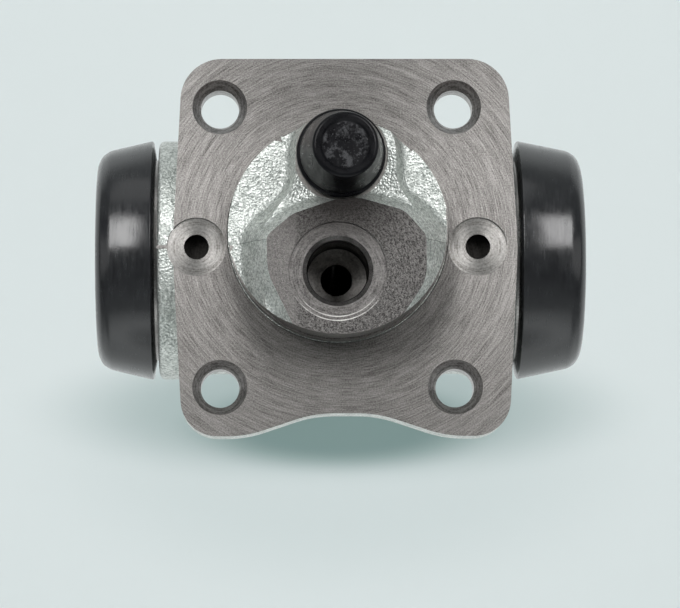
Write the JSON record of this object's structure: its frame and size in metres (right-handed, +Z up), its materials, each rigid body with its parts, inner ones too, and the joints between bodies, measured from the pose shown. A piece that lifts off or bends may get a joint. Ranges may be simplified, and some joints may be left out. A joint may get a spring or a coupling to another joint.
{
  "type": "drum brake wheel cylinder",
  "caption": "Wheel cylinder for a drum brake: square flange with a turned spigot, inlet port, capped bleed screw, and opposed pistons behind rubber dust boots.",
  "frame": {"origin": "the machined flange face, at the middle of its four holes", "axes": "+X along the bore to the right, +Y from the flange face towards the barrel, +Z up with the bleed screw on top"},
  "size_m": [0.0738, 0.0553, 0.0566],
  "materials": {
    "casting": "zinc-plated casting, turned faces bare",
    "bleed_screw": "zinc-plated steel",
    "cap_rubber": "matt black, dusty",
    "piston": "turned, bare",
    "seal_rubber": "smooth black",
    "pressed_steel": "zinc-plated sheet",
    "spring_steel": "drawn spring wire",
    "boot_rubber": "satin black"
  },
  "bodies": {
    "cylinder": {"cylinder_body": "casting", "expander_spring": "spring_steel", "dust_boot_left": "boot_rubber", "dust_boot_right": "boot_rubber"},
    "piston_left_group": {"piston_left": "piston", "cup_seal_left": "seal_rubber", "spring_seat_left": "pressed_steel"},
    "piston_right_group": {"piston_right": "piston", "cup_seal_right": "seal_rubber", "spring_seat_right": "pressed_steel"},
    "bleed_screw_group": {"bleed_screw": "bleed_screw"},
    "bleed_cap_group": {"bleed_cap": "cap_rubber"}
  },
  "joints": [
    {"name": "piston_left_slide", "type": "slide", "parent": "cylinder", "child": "piston_left_group", "axis": [-1, 0, 0], "range_m": [-0.003, 0.006], "deforming": ["dust_boot_left", "expander_spring"]},
    {"name": "piston_right_slide", "type": "slide", "parent": "cylinder", "child": "piston_right_group", "axis": [1, 0, 0], "range_m": [-0.003, 0.006], "deforming": ["dust_boot_right", "expander_spring"]},
    {"name": "bleed_screw_turn", "type": "hinge", "parent": "cylinder", "child": "bleed_screw_group", "pos_m": [0.0004, -0.0076, 0.0128], "axis": [0, -1, 0], "range_deg": [0, 360]},
    {"name": "bleed_cap_pull", "type": "slide", "parent": "bleed_screw_group", "child": "bleed_cap_group", "axis": [0.0523, -0.9986, 0], "range_m": [0, 0.016]}
  ]
}
